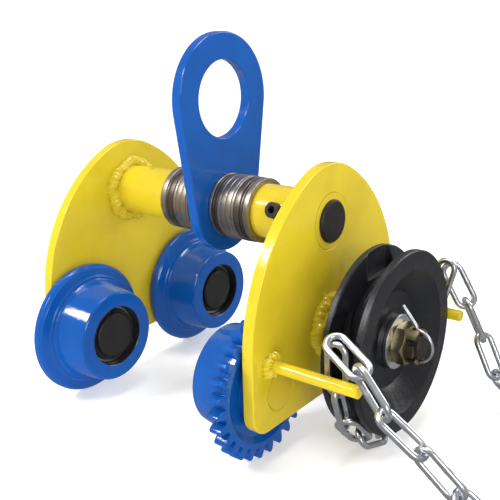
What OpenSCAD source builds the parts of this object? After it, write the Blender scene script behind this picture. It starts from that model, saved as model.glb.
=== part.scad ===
// Geared beam trolley, standing on its wheels with the hanger plate upright.
// X runs along the cross shaft towards the hand wheel, Y along the beam, Z up.
// The origin is the bottom centre of the trolley's box, its hand chain left out.

/* [Side plates] */
// Thickness of each side plate
plate_t = 10; // [6:0.5:14]
// Half of a side plate's width
plate_half_w = 106; // [100:1:125]
// Radius of each flank of the plate's arched top
flank_r = 140; // [120:1:200]
// Radius of the rounded crown of the arch
crown_r = 60; // [30:1:80]
// Height of the arch's widest line below the cross shaft
arch_drop = 86; // [60:1:110]
// Height of the plate's bottom edge below the cross shaft
plate_drop = 147; // [140:1:165]
// Radius of the two bottom corners
corner_r = 18; // [4:1:30]
// Distance between the inner faces of the side plates
inner_width = 218; // [212:1:260]

/* [Cross shaft] */
// Diameter of the cross shaft
shaft_d = 35; // [20:1:40]
// Length of shaft end that stands proud of each side plate
shaft_proud = 3; // [1:0.5:8]
// Outer diameter of the sleeve welded through each side plate
sleeve_d = 46; // [44:1:52]
// Radial running clearance between a sleeve and the cross shaft
sleeve_clearance = 0.06; // [0.02:0.01:0.1]
// Length of the far sleeve inside the trolley
far_sleeve_l = 66; // [50:1:66]
// Length of the near sleeve inside the trolley
near_sleeve_l = 54; // [40:1:54]
// Diameter of the grub screw that locks the near sleeve
grub_d = 13; // [6:1:14]
// Height of the grub screw's face above the sleeve
grub_proud = 5; // [0:0.5:8]
// Angle of the grub screw above the level line towards -Y
grub_angle = 20; // [0:5:40]
// Diameter of the cross pin that holds the far sleeve
cross_pin_d = 8; // [4:1:10]

/* [Adjusting washers] */
// Outer diameter of an adjusting washer
washer_d = 56; // [54:1:64]
// Radial clearance between a washer and the cross shaft
washer_clearance = 0.5; // [0.3:0.1:1.5]
// Thickness of a thick washer
thick_washer = 6; // [4:0.5:7]
// Thickness of a thin washer
thin_washer = 3; // [2:0.5:3.5]

/* [Hanger plate] */
// Thickness of the hanger plate
hanger_t = 10; // [8:0.5:14]
// Distance of the hanger plate from the middle of the washer packs, towards the hand wheel
hanger_shift = 2.3; // [-4:0.1:4]
// Height of the lifting eye's centre above the cross shaft
eye_rise = 91; // [80:1:120]
// Diameter of the hole in the lifting eye
eye_hole_d = 65; // [40:1:75]
// Outer diameter of the lifting eye
eye_d = 110; // [100:1:120]
// Diameter of the rounded lower end of the hanger plate
hanger_foot_d = 82; // [70:1:90]
// Radial running clearance between the hanger plate and the cross shaft
hanger_clearance = 0.08; // [0.02:0.01:0.1]
// Gap between the hanger plate and the washers on each side of it
hanger_side_gap = 0.3; // [0.1:0.1:0.6]

/* [Wheels] */
// Half of the distance between the two wheel axles of one side plate
half_wheelbase = 72; // [66:1:80]
// Height of the wheel axles below the cross shaft
axle_drop = 118; // [112:1:124]
// Diameter of the wheel flange
flange_d = 120; // [112:1:120]
// Thickness of the plain wheel flange
flange_t = 9; // [6:0.5:11]
// Diameter of the tread where it meets the flange
tread_root_d = 92; // [84:1:96]
// Diameter of the tread at its free end
tread_end_d = 81; // [76:1:84]
// Width of a wheel from flange back to tread end
wheel_w = 43; // [40:1:50]
// Gap between a wheel flange and its side plate
wheel_gap = 2.5; // [1.5:0.5:4]
// Diameter of the open mouth of the hub
hub_mouth_d = 54.4; // [53:0.1:58]

/* [Wheel bearings] */
// Diameter of the wheel axle in its bearings
axle_d = 40; // [38:1:41]
// Outer diameter of a wheel bearing
bearing_d = 52; // [51:1:53]
// Width of a wheel bearing
bearing_w = 7; // [6:0.5:8]
// Radial thickness of each bearing ring
ring_t = 1.7; // [1.4:0.1:1.9]
// Diameter of a bearing ball
ball_d = 3.5; // [3:0.1:3.8]
// Balls in one bearing
ball_count = 16; // [10:1:24]
// Clearance between a ball and its raceways
ball_clearance = 0.1; // [0.05:0.01:0.2]
// Diameter of the axle shoulder that the inner ring sits against
shoulder_d = 45; // [43:1:47]
// Thickness of an axle circlip
circlip_t = 1.75; // [1:0.25:2.5]

/* [Gearing] */
// Module of the gear teeth
gear_module = 4; // [4:0.5:4]
// Teeth on each geared wheel
wheel_teeth = 28; // [28:1:28]
// Teeth on the drive pinion
pinion_teeth = 11; // [11:1:11]
// Pressure angle of the teeth
pressure_angle = 20; // [20:1:25]
// Thinning of each tooth at the pitch circle, for backlash
backlash = 0.3; // [0.2:0.05:0.5]
// Face width of the geared wheel's teeth
gear_w = 11; // [8:0.5:12]
// Depth of the dish in the geared wheel's outer face
gear_dish = 4; // [2:0.5:6]

/* [Hand drive] */
// Diameter of the drive shaft in its bush
journal_d = 25; // [22:1:28]
// Diameter of the drive shaft in the pinion and the hand wheel
seat_d = 22; // [18:1:24]
// Diameter of the threaded end of the drive shaft
thread_d = 20; // [16:1:20]
// Outer diameter of the bush that carries the drive shaft
bush_d = 32; // [30:1:36]
// Radial running clearance between the bush and the drive shaft
bush_clearance = 0.06; // [0.02:0.01:0.1]
// Outer diameter of the welded housing around the bush
housing_d = 46; // [42:1:52]
// Length of the housing outside the near side plate
housing_l = 30; // [20:1:32]
// Diameter of the hand wheel
hand_wheel_d = 147; // [130:1:148]
// Width of the hand wheel over its two rims
hand_wheel_w = 33; // [28:0.5:38]
// Distance from the near side plate to the hand wheel's back rim
hand_wheel_gap = 36.6; // [36:0.1:42]
// Diameter at the bottom of the chain groove
groove_d = 100; // [90:1:104]
// Chain pockets around the hand wheel
pocket_count = 5; // [5:1:5]
// Diameter of the washer under the castle nut
nut_washer_d = 44; // [34:1:46]
// Width across the flats of the castle nut
nut_flats = 30; // [27:1:32]
// Diameter of the split pin
split_pin_d = 4; // [2:0.5:4.5]

/* [Chain guides] */
// Diameter of a chain guide rod
guide_d = 9.5; // [6:0.5:11]
// Length of a chain guide rod outside the side plate
guide_l = 77; // [60:1:90]
// Distance of a guide rod from the hand wheel's centre line
guide_offset = 84.5; // [84:0.5:90]
// Height of the guide rods below the cross shaft
guide_drop = 92; // [85:1:100]

/* [Hand chain] */
// Diameter of the chain wire
wire_d = 5; // [4:0.5:6]
// Inside length of a chain link
link_pitch = 35; // [32:0.5:38]
// Inside width of a chain link
link_inner_w = 10; // [9:0.5:12]

/* [Hidden] */
$fn = 96;

// Colours
yellow = [0.86, 0.76, 0.12];
blue = [0.05, 0.27, 0.62];
black = [0.1, 0.1, 0.11];
steel = [0.55, 0.55, 0.56];
zinc = [0.75, 0.76, 0.78];
bronze = [0.6, 0.5, 0.36];

// Places along the cross shaft, from the far side plate's inner face
near_in = inner_width;
near_out = near_in + plate_t;
far_out = -plate_t;
far_washers = far_sleeve_l;
near_washers = near_in - near_sleeve_l;
hanger_x = (far_washers + near_washers) / 2 + hanger_shift;
hanger_hole_r = shaft_d / 2 + hanger_clearance;
washer_hole_r = shaft_d / 2 + washer_clearance;
sleeve_hole_r = shaft_d / 2 + sleeve_clearance;

// Places of the drive
axle_z = -axle_drop;
centres = gear_module * (wheel_teeth + pinion_teeth) / 2;
drive_rise = sqrt(centres * centres - half_wheelbase * half_wheelbase);
drive_z = axle_z + drive_rise;
wheel_back = hand_wheel_gap + near_out;
wheel_front = wheel_back + hand_wheel_w;
hub_back = near_out + housing_l + 3;
hub_front = wheel_front - 9.8;
nut_washer_t = 3;
nut_h = 18;
nut_x = hub_front + nut_washer_t;
drive_end = nut_x + nut_h + 3;
pin_x = nut_x + nut_h - 3.5;
pin_reach = nut_flats / 2 - 2;
pin_lean = 40;
pin_leg = 20;
gear_out = near_in - wheel_gap;
pinion_in = gear_out - gear_w - 0.5;
pinion_out = near_in - 2;

// Origin: bottom centre of the trolley's box
far_end = far_out - shaft_proud;
near_end = pin_x + pin_reach + split_pin_d * 0.4;
floor_z = axle_z - flange_d / 2;
origin = [(far_end + near_end) / 2, 0, floor_z];

// ---- helpers ----

// Moves the shaft frame to the trolley's own frame
module place() { translate(-origin) children(); }

// Turns a drawing in Y and Z, or a body about its own Z, to run along X from a point
module at_x(x, y = 0, z = 0) { translate([x, y, z]) rotate([90, 0, 90]) children(); }

// The same, running the other way along X
module back_x(x, y = 0, z = 0) { translate([x, y, z]) mirror([1, 0, 0]) rotate([90, 0, 90]) children(); }

// A ring with its axis along Z
module ring(r_out, r_in, h) {
    difference() {
        cylinder(r = r_out, h = h);
        translate([0, 0, -1]) cylinder(r = r_in, h = h + 2);
    }
}

// A straight-sided fillet bead around a round piece of radius r, seated on a face
module bead(r, leg) {
    rotate_extrude() polygon([[r, 0], [r + leg, 0], [r + 0.75 * leg, 0.45 * leg],
                              [r + 0.45 * leg, 0.75 * leg], [r, leg]]);
}

// ---- side plates ----

arch_x = flank_r - plate_half_w;
crown_z = sqrt(pow(flank_r - crown_r, 2) - arch_x * arch_x) - arch_drop;
tangent_z = -arch_drop + flank_r * (crown_z + arch_drop) / (flank_r - crown_r);

module plate_outline() {
    // Flank arcs meet the crown arc where their centres line up
    intersection() {
        translate([-arch_x, -arch_drop]) circle(r = flank_r);
        translate([arch_x, -arch_drop]) circle(r = flank_r);
        translate([-plate_half_w, -arch_drop]) square([2 * plate_half_w, tangent_z + arch_drop]);
    }
    translate([0, crown_z]) circle(r = crown_r);
    translate([-plate_half_w, -plate_drop + corner_r])
        square([2 * plate_half_w, plate_drop - arch_drop - corner_r]);
    translate([corner_r - plate_half_w, -plate_drop])
        square([2 * (plate_half_w - corner_r), corner_r]);
    for (side = [-1, 1])
        translate([side * (plate_half_w - corner_r), corner_r - plate_drop]) circle(r = corner_r);
}

// A side plate with its inner face at x = 0
module side_plate(extra_hole_r = 0) {
    difference() {
        rotate([90, 0, 90]) linear_extrude(plate_t) plate_outline();
        at_x(-1) cylinder(d = sleeve_d, h = plate_t + 2);
        for (side = [-1, 1])
            at_x(-1, side * half_wheelbase, axle_z) cylinder(r = axle_tail_r, h = plate_t + 2);
        if (extra_hole_r > 0) at_x(-1, 0, drive_z) cylinder(r = extra_hole_r, h = plate_t + 2);
    }
}

module far_side_plate() { color(yellow) place() translate([far_out, 0, 0]) side_plate(); }

module near_side_plate() {
    color(yellow) place() translate([near_in, 0, 0]) side_plate(housing_d / 2);
}

// ---- cross shaft, sleeves, washers ----

far_pin_x = far_sleeve_l / 2;
grub_x = near_washers + 24;
shaft_chamfer = 1.5;

module cross_shaft() {
    length = near_out + shaft_proud - far_end;
    color(black) place() difference() {
        at_x(far_end) rotate_extrude() polygon([
            [0, 0], [shaft_d / 2 - shaft_chamfer, 0], [shaft_d / 2, shaft_chamfer],
            [shaft_d / 2, length - shaft_chamfer], [shaft_d / 2 - shaft_chamfer, length], [0, length]
        ]);
        translate([far_pin_x, 0, -sleeve_d]) cylinder(d = cross_pin_d, h = 2 * sleeve_d);
    }
}

module far_sleeve() {
    color(yellow) place() difference() {
        at_x(far_out) ring(sleeve_d / 2, sleeve_hole_r, far_sleeve_l + plate_t);
        translate([far_pin_x, 0, -sleeve_d]) cylinder(d = cross_pin_d, h = 2 * sleeve_d);
    }
}

module near_sleeve() {
    color(yellow) place() difference() {
        at_x(near_washers) ring(sleeve_d / 2, sleeve_hole_r, near_sleeve_l + plate_t);
        rotate([-grub_angle, 0, 0]) translate([grub_x, -sleeve_d, 0]) rotate([-90, 0, 0])
            cylinder(d = grub_d, h = sleeve_d);
    }
}

module far_sleeve_pin() {
    // A solid cross pin, a little shorter than the sleeve is thick
    color(steel) place()
        translate([far_pin_x, 0, 1 - sleeve_d / 2]) cylinder(d = cross_pin_d, h = sleeve_d - 2);
}

grub_socket_d = grub_d / 2;
grub_l = sleeve_d / 2 - sleeve_hole_r - 0.4 + grub_proud;

module sleeve_grub_screw() {
    // Socket set screw that stands proud of the sleeve
    color(black) place() rotate([-grub_angle, 0, 0])
        translate([grub_x, -sleeve_d / 2 - grub_proud, 0]) rotate([-90, 0, 0]) difference() {
            cylinder(d = grub_d, h = grub_l);
            translate([0, 0, -1]) cylinder(d = grub_socket_d, h = 6, $fn = 6);
        }
}

// Washers of the given thicknesses, one after another along X from x0
function sum_to(list, n) = n <= 0 ? 0 : list[n - 1] + sum_to(list, n - 1);

module washer_stack(x0, list) {
    for (i = [0:len(list) - 1])
        at_x(x0 + sum_to(list, i)) washer(list[i]);
}

module washer(t) {
    edge = min(0.5, t / 5);
    rotate_extrude() polygon([
        [washer_hole_r, 0], [washer_d / 2 - edge, 0], [washer_d / 2, edge],
        [washer_d / 2, t - edge], [washer_d / 2 - edge, t], [washer_hole_r, t]
    ]);
}

// Fills a gap with washers in the order of a list, the last one as thick as what is left
least_washer = 1;
function pack(gap, list, i = 0) =
    let (t = list[i % len(list)])
    gap <= t + least_washer ? [gap] : concat([t], pack(gap - t, list, i + 1));

thick = thick_washer;
thin = thin_washer;
far_order = [thick, thin, thick, thin, thick, thick, thin, thick];
near_order = [thin, thin, thin, thin, thick, thick, thin, thick, thin, thick];
far_pack_l = hanger_x - hanger_t / 2 - hanger_side_gap - far_washers;
near_pack_l = near_washers - hanger_x - hanger_t / 2 - hanger_side_gap;

module far_washer_pack() {
    color(bronze) place() washer_stack(far_washers, pack(far_pack_l, far_order));
}

module near_washer_pack() {
    x0 = hanger_x + hanger_t / 2 + hanger_side_gap;
    color(bronze) place() washer_stack(x0, pack(near_pack_l, near_order));
}

// ---- hanger plate ----

// Half angle of the plate's straight sides, tangent to the eye and to the foot
hanger_taper = asin((eye_d - hanger_foot_d) / 2 / eye_rise);

module hanger_outline() {
    circle(d = hanger_foot_d);
    translate([0, eye_rise]) circle(d = eye_d);
    foot = hanger_foot_d / 2;
    head = eye_d / 2;
    c = cos(hanger_taper);
    s = sin(hanger_taper);
    polygon([[foot * c, -foot * s], [head * c, eye_rise - head * s],
             [-head * c, eye_rise - head * s], [-foot * c, -foot * s]]);
}

module hanger_plate() {
    color(blue) place() difference() {
        at_x(hanger_x - hanger_t / 2) linear_extrude(hanger_t) hanger_outline();
        at_x(hanger_x - hanger_t) cylinder(r = hanger_hole_r, h = 2 * hanger_t);
        at_x(hanger_x - hanger_t, 0, eye_rise) cylinder(d = eye_hole_d, h = 2 * hanger_t);
    }
}

// ---- wheels; distances run from the side plate's inner face into the trolley ----

flange_back = wheel_gap;
tread_end = wheel_gap + wheel_w;
inner_bearing = wheel_gap + 2.5;
outer_bearing = tread_end - 8.5 - bearing_w;
hub_web_r = bearing_d / 2 - 2;
axle_end = tread_end - 3;
circlip_x = outer_bearing + bearing_w + 0.2;
axle_tail_r = 16;

module hub_bore() {
    // Two bearing seats with a web between them, and the open mouth
    translate([0, 0, flange_back - 1])
        cylinder(d = bearing_d, h = inner_bearing + bearing_w - flange_back + 1);
    translate([0, 0, flange_back]) cylinder(r = hub_web_r, h = wheel_w);
    translate([0, 0, outer_bearing]) cylinder(d = bearing_d, h = wheel_w);
    translate([0, 0, outer_bearing + bearing_w]) cylinder(d = hub_mouth_d, h = wheel_w);
}

module plain_wheel() {
    r_flange = flange_d / 2;
    r_root = tread_root_d / 2;
    r_end = tread_end_d / 2;
    difference() {
        rotate_extrude() polygon([
            [0, flange_back], [r_flange - 2, flange_back], [r_flange, flange_back + 2],
            [r_flange, flange_back + flange_t - 2], [r_flange - 1.5, flange_back + flange_t],
            [r_root + 2, flange_back + flange_t + 1], [r_root, flange_back + flange_t + 3],
            [r_end + 0.5, tread_end - 3], [r_end - 0.7, tread_end - 0.8], [r_end - 2.5, tread_end],
            [0, tread_end]
        ]);
        hub_bore();
    }
}

// Involute of an angle in degrees, itself in degrees
function involute(angle) = tan(angle) * 180 / PI - angle;

// Half of a tooth's angle at radius r; flanks run straight below the base circle
function half_tooth(r, teeth) =
    let (r_pitch = gear_module * teeth / 2, r_base = r_pitch * cos(pressure_angle))
    90 / teeth - backlash / 2 / r_pitch * 180 / PI + involute(pressure_angle)
        - (r > r_base ? involute(acos(r_base / r)) : 0);

// Outline of a gear whose first tooth points at angle phase; relief narrows each root
function gear_outline(teeth, r_root, r_tip, phase, relief = 0) = [
    for (i = [0:teeth - 1])
        let (mid = phase + i * 360 / teeth, r_pitch = gear_module * teeth / 2)
        for (p = [[r_root, -1, relief], [r_pitch * 0.94, -1, 0], [r_pitch, -1, 0],
                  [(r_pitch + r_tip) / 2, -1, 0], [r_tip, -1, 0], [r_tip, 1, 0],
                  [(r_pitch + r_tip) / 2, 1, 0], [r_pitch, 1, 0], [r_pitch * 0.94, 1, 0],
                  [r_root, 1, relief]])
            let (angle = mid + p[1] * (half_tooth(p[0], teeth) - p[2]))
            [p[0] * cos(angle), p[0] * sin(angle)]
];

// A pinion tooth points straight down; each wheel is turned so that its teeth meet the pinion's
mesh_angle = atan2(drive_rise, half_wheelbase);
pinion_step = 360 / pinion_teeth;
pinion_lead = (180 + mesh_angle + 90) / pinion_step;
pinion_miss = (round(pinion_lead) - pinion_lead) * pinion_step;
left_phase = mesh_angle - pinion_miss * pinion_teeth / wheel_teeth + 180 / wheel_teeth;
gear_root_r = flange_d / 2 - 2.25 * gear_module;

module geared_wheel(phase) {
    // Drawn like a plain wheel, its teeth in place of the flange
    r_root = tread_root_d / 2;
    r_end = tread_end_d / 2;
    difference() {
        union() {
            translate([0, 0, flange_back]) linear_extrude(gear_w)
                polygon(gear_outline(wheel_teeth, gear_root_r, flange_d / 2, phase));
            rotate_extrude() polygon([
                [0, flange_back + gear_dish], [r_root, flange_back + gear_dish],
                [r_root + 2, flange_back + gear_w], [r_root, flange_back + gear_w + 2],
                [r_end + 0.5, tread_end - 3], [r_end - 0.7, tread_end - 0.8],
                [r_end - 2.5, tread_end], [0, tread_end]
            ]);
        }
        rotate_extrude() polygon([
            [0, flange_back - 1], [gear_root_r - 5, flange_back - 1], [gear_root_r - 5, flange_back],
            [gear_root_r - 9, flange_back + gear_dish], [bearing_d / 2 + 4, flange_back + gear_dish],
            [bearing_d / 2 + 3, flange_back], [0, flange_back]
        ]);
        hub_bore();
    }
}

module far_wheel(side) { place() at_x(0, side * half_wheelbase, axle_z) children(); }
module near_wheel(side) { place() back_x(near_in, side * half_wheelbase, axle_z) children(); }

module far_left_wheel() { color(blue) far_wheel(-1) plain_wheel(); }
module far_right_wheel() { color(blue) far_wheel(1) plain_wheel(); }
module near_left_wheel() { color(blue) near_wheel(-1) geared_wheel(left_phase); }
module near_right_wheel() { color(blue) near_wheel(1) geared_wheel(180 - left_phase); }

// ---- axles and bearings ----

module axle() {
    // Tail through the plate, shoulder, bearing seat with its circlip groove
    r = axle_d / 2;
    rotate_extrude() polygon([
        [0, -plate_t], [axle_tail_r, -plate_t], [axle_tail_r, 0], [shoulder_d / 2, 0],
        [shoulder_d / 2, inner_bearing], [r, inner_bearing], [r, circlip_x],
        [r - 1.5, circlip_x], [r - 1.5, circlip_x + circlip_t], [r, circlip_x + circlip_t],
        [r, axle_end - 1], [r - 1, axle_end], [0, axle_end]
    ]);
}

module far_left_axle() { color(black) far_wheel(-1) axle(); }
module far_right_axle() { color(black) far_wheel(1) axle(); }
module near_left_axle() { color(black) near_wheel(-1) axle(); }
module near_right_axle() { color(black) near_wheel(1) axle(); }

bearing_places = [inner_bearing, outer_bearing];
ball_ring_r = (axle_d + bearing_d) / 4;
race_r = ball_d / 2 + ball_clearance;

module bearing_ring(r_in, r_out) {
    rotate_extrude() difference() {
        translate([r_in, 0]) square([r_out - r_in, bearing_w]);
        translate([ball_ring_r, bearing_w / 2]) circle(r = race_r);
    }
}

module outer_rings() {
    for (x = bearing_places)
        translate([0, 0, x]) bearing_ring(bearing_d / 2 - ring_t, bearing_d / 2);
}

module inner_rings() {
    for (x = bearing_places)
        translate([0, 0, x]) bearing_ring(axle_d / 2, axle_d / 2 + ring_t);
}

seal_t = 0.8;

module seals() {
    for (x = bearing_places, end = [0.2, bearing_w - seal_t - 0.2])
        translate([0, 0, x + end]) ring(bearing_d / 2 - ring_t, axle_d / 2 + ring_t + 0.15, seal_t);
}

module balls() {
    for (x = bearing_places, i = [0:ball_count - 1])
        rotate(i * 360 / ball_count) translate([ball_ring_r, 0, x + bearing_w / 2])
            sphere(d = ball_d, $fn = 24);
}

module ring_spacer() {
    gap = outer_bearing - inner_bearing - bearing_w;
    translate([0, 0, inner_bearing + bearing_w]) ring(axle_d / 2 + ring_t, axle_d / 2, gap);
}

module axle_circlip() {
    // Open at the top, with a pierced lug each side of the gap
    r_in = axle_d / 2 - 1.5;
    translate([0, 0, circlip_x]) difference() {
        union() {
            ring(r_in + 5, r_in, circlip_t);
            for (side = [-1, 1])
                translate([side * 4.4, r_in + 3.6, 0]) cylinder(d = 4, h = circlip_t);
        }
        translate([-2, 0, -1]) cube([4, 2 * r_in, circlip_t + 2]);
        for (side = [-1, 1])
            translate([side * 4.4, r_in + 3.8, -1]) cylinder(d = 1.8, h = circlip_t + 2);
    }
}

module far_left_outer_rings() { color(steel) far_wheel(-1) outer_rings(); }
module far_right_outer_rings() { color(steel) far_wheel(1) outer_rings(); }
module near_left_outer_rings() { color(steel) near_wheel(-1) outer_rings(); }
module near_right_outer_rings() { color(steel) near_wheel(1) outer_rings(); }
module far_left_seals() { color(black) far_wheel(-1) seals(); }
module far_right_seals() { color(black) far_wheel(1) seals(); }
module near_left_seals() { color(black) near_wheel(-1) seals(); }
module near_right_seals() { color(black) near_wheel(1) seals(); }
module far_inner_rings() { color(steel) for (side = [-1, 1]) far_wheel(side) inner_rings(); }
module near_inner_rings() { color(steel) for (side = [-1, 1]) near_wheel(side) inner_rings(); }
module far_bearing_balls() { color(zinc) for (side = [-1, 1]) far_wheel(side) balls(); }
module near_bearing_balls() { color(zinc) for (side = [-1, 1]) near_wheel(side) balls(); }
module far_ring_spacers() { color(steel) for (side = [-1, 1]) far_wheel(side) ring_spacer(); }
module near_ring_spacers() { color(steel) for (side = [-1, 1]) near_wheel(side) ring_spacer(); }
module far_axle_circlips() { color(black) for (side = [-1, 1]) far_wheel(side) axle_circlip(); }
module near_axle_circlips() { color(black) for (side = [-1, 1]) near_wheel(side) axle_circlip(); }

// ---- welds ----

sleeve_leg = 6;
rod_leg = 3.5;
housing_leg = 5;

module far_weld_beads() {
    color(yellow) place() {
        at_x(0) bead(sleeve_d / 2, sleeve_leg);
    }
}

module near_weld_beads() {
    color(yellow) place() {
        back_x(near_in) bead(sleeve_d / 2, sleeve_leg);
        at_x(near_out, 0, drive_z) bead(housing_d / 2, housing_leg);
        for (side = [-1, 1])
            at_x(near_out, side * guide_offset, -guide_drop) bead(guide_d / 2, rod_leg);
    }
}

// ---- chain guides ----

module chain_guide(side) {
    color(yellow) place() at_x(near_out, side * guide_offset, -guide_drop)
        cylinder(d = guide_d, h = guide_l);
}

module left_chain_guide() { chain_guide(-1); }
module right_chain_guide() { chain_guide(1); }

// ---- hand drive ----

module drive_housing() {
    color(yellow) place() at_x(near_in, 0, drive_z)
        ring(housing_d / 2, bush_d / 2, plate_t + housing_l);
}

module drive_bush() {
    color([0.7, 0.5, 0.25]) place() at_x(near_in, 0, drive_z) {
        difference() {
            union() {
                cylinder(d = bush_d, h = plate_t + housing_l);
                translate([0, 0, plate_t + housing_l]) cylinder(d = bush_d + 8, h = 2.5);
            }
            translate([0, 0, -1])
                cylinder(r = journal_d / 2 + bush_clearance, h = plate_t + housing_l + 5);
        }
    }
}

key_w = 6;
key_h = 6;

module key(x0, x1) {
    translate([x0, -key_w / 2, drive_z + seat_d / 2 - key_h / 2]) cube([x1 - x0, key_w, key_h]);
}

module drive_shaft() {
    r = seat_d / 2;
    tip = pinion_in - 5;
    function at(x) = x - tip;
    color(black) place() difference() {
        at_x(tip, 0, drive_z) rotate_extrude() polygon([
            [0, 0], [r - 1, 0], [r, 1], [r, at(pinion_in - 1.8)], [r - 1, at(pinion_in - 1.8)],
            [r - 1, at(pinion_in - 0.2)], [r, at(pinion_in - 0.2)], [r, at(pinion_out)],
            [journal_d / 2, at(pinion_out)], [journal_d / 2, at(hub_back)], [r, at(hub_back)],
            [r, at(hub_front - 1)], [thread_d / 2, at(hub_front - 1)],
            [thread_d / 2, at(drive_end - 1.5)], [thread_d / 2 - 1.5, at(drive_end)],
            [0, at(drive_end)]
        ]);
        key(pinion_in + 1, pinion_out);
        key(hub_back + 1, hub_front - 1);
        translate([pin_x, 0, drive_z - thread_d]) cylinder(d = split_pin_d + 0.4, h = 2 * thread_d);
    }
}

module keyed_hole(x0, x1) {
    // Bore with a keyway along its whole length
    at_x(x0 - 1, 0, drive_z) cylinder(d = seat_d, h = x1 - x0 + 2);
    key(x0 - 1, x1 + 1);
}

pinion_root_r = gear_module * (pinion_teeth / 2 - 1.25);
pinion_tip_r = gear_module * (pinion_teeth / 2 + 1);

module drive_pinion() {
    color(steel) place() difference() {
        at_x(pinion_in, 0, drive_z) linear_extrude(pinion_out - pinion_in)
            polygon(gear_outline(pinion_teeth, pinion_root_r, pinion_tip_r, -90, 2));
        keyed_hole(pinion_in, pinion_out);
    }
}

module pinion_key() { color(steel) place() key(pinion_in + 1, pinion_out); }

module pinion_thrust_washer() {
    color([0.7, 0.5, 0.25]) place() at_x(pinion_out + 0.2, 0, drive_z)
        ring(pinion_root_r - 0.5, journal_d / 2 + 0.15, near_in - pinion_out - 0.2);
}

module pinion_circlip() {
    r = seat_d / 2 - 1;
    color(black) place() at_x(pinion_in - 1.8, 0, drive_z) difference() {
        ring(r + 4, r, 1.6);
        translate([-1.5, 0, -1]) cube([3, 2 * r, 4]);
    }
}

// Hand wheel profile: radii and distances from the back rim
rim_t = 5.5;
groove_r = groove_d / 2;
wheel_r = hand_wheel_d / 2;
groove_w = 11.5;
groove_back = (hand_wheel_w - groove_w) / 2 - 0.7;
web_back = 9;
web_front = 19;
hub_r = 20;
annulus_w = 15;
dish_r = groove_r - 8;

module hand_wheel_body() {
    w = hand_wheel_w;
    rotate_extrude() polygon([
        [0, hub_back - wheel_back], [hub_r, hub_back - wheel_back], [hub_r + 2, web_back],
        [groove_r - 10, web_back], [groove_r - 2, 3], [wheel_r - 14, 0], [wheel_r - 1, 0],
        [wheel_r, 1], [wheel_r, rim_t - 1], [wheel_r - 1, rim_t],
        [groove_r + 2, groove_back], [groove_r, groove_back + 2],
        [groove_r, groove_back + groove_w - 2], [groove_r + 2, groove_back + groove_w],
        [wheel_r - 1, w - rim_t - 1], [wheel_r, w - rim_t], [wheel_r, w - 1], [wheel_r - 1, w],
        [wheel_r - annulus_w, w], [wheel_r - annulus_w - 2, w - 2],
        [dish_r, web_front + 3], [dish_r - 3, web_front],
        [hub_r + 3, web_front], [hub_r, hub_front - wheel_back], [0, hub_front - wheel_back]
    ]);
}

// Room for a link lying flat in the groove, open outwards
module link_pocket() {
    l = link_pitch + 2 * wire_d + 2;
    half_w = link_inner_w / 2 + wire_d + 1;
    seat_r = groove_r + 2.5;
    translate([0, seat_r, groove_back + groove_w / 2]) rotate([-90, 0, 0]) {
        for (end = [-1, 1])
            translate([end * (l / 2 - half_w), 0, 0]) cylinder(r = half_w, h = wheel_r);
        translate([half_w - l / 2, -half_w, 0]) cube([l - 2 * half_w, 2 * half_w, wheel_r]);
    }
}

module hand_wheel() {
    color(black) place() difference() {
        at_x(wheel_back, 0, drive_z) difference() {
            hand_wheel_body();
            for (i = [0:pocket_count - 1]) rotate(i * 360 / pocket_count) link_pocket();
        }
        keyed_hole(hub_back, hub_front);
    }
}

module hand_wheel_key() { color(steel) place() key(hub_back + 1, hub_front - 1); }

module nut_washer() {
    color(zinc) place() at_x(hub_front, 0, drive_z)
        ring(nut_washer_d / 2, thread_d / 2 + 0.3, nut_washer_t);
}

slot_w = split_pin_d + 0.8;
slot_h = 7;

module castle_nut() {
    // Hexagon below, round crown above with six slots
    hex_r = nut_flats / 2 / cos(30);
    hex_h = nut_h - slot_h - 1;
    nut_crown_r = nut_flats / 2 - 1;
    bevel_r = nut_flats / 2 - 0.4;
    color(bronze) place() at_x(nut_x, 0, drive_z) difference() {
        union() {
            intersection() {
                cylinder(r = hex_r, h = hex_h, $fn = 6);
                rotate_extrude() polygon([
                    [0, -1], [bevel_r - 1.3, -1], [hex_r + 1, 2.2], [hex_r + 1, hex_h - 2.2],
                    [bevel_r - 1.3, hex_h + 1], [0, hex_h + 1]
                ]);
            }
            translate([0, 0, 1]) cylinder(r = nut_crown_r, h = nut_h - 1);
        }
        translate([0, 0, -1]) cylinder(d = thread_d, h = nut_h + 2);
        for (turn = [0, 60, 120]) rotate(turn)
            translate([-slot_w / 2, -nut_flats, nut_h - slot_h])
                cube([slot_w, 2 * nut_flats, slot_h + 1]);
    }
}

module split_pin() {
    // Shank through shaft and nut, one leg bent round the shaft's end, one leaning back
    leg_r = split_pin_d * 0.4;
    color(zinc) place() translate([pin_x, 0, drive_z]) {
        translate([0, 0, -pin_reach]) cylinder(d = split_pin_d, h = 2 * pin_reach);
        for (end = [-1, 1]) translate([0, 0, end * pin_reach]) sphere(d = split_pin_d);
        rotate([90, 0, 0]) rotate(-90) rotate_extrude(angle = 180)
            translate([pin_reach, 0]) circle(r = leg_r, $fn = 24);
        translate([0, 0, pin_reach]) rotate([0, -pin_lean, 0]) cylinder(r = leg_r, h = pin_leg);
    }
}

// ---- hand chain ----

straight = link_pitch - link_inner_w;
bend_r = (link_inner_w + wire_d) / 2;
chain_x = wheel_back + groove_back + groove_w / 2 + 0.6;

// A link with its length along X, lying in the XY plane
module chain_link() {
    for (side = [-1, 1])
        translate([-straight / 2, side * bend_r, 0]) rotate([0, 90, 0])
            cylinder(d = wire_d, h = straight, $fn = 24);
    translate([straight / 2, 0, 0]) rotate(-90) rotate_extrude(angle = 180)
        translate([bend_r, 0]) circle(d = wire_d, $fn = 24);
    translate([-straight / 2, 0, 0]) rotate(90) rotate_extrude(angle = 180)
        translate([bend_r, 0]) circle(d = wire_d, $fn = 24);
}

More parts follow.
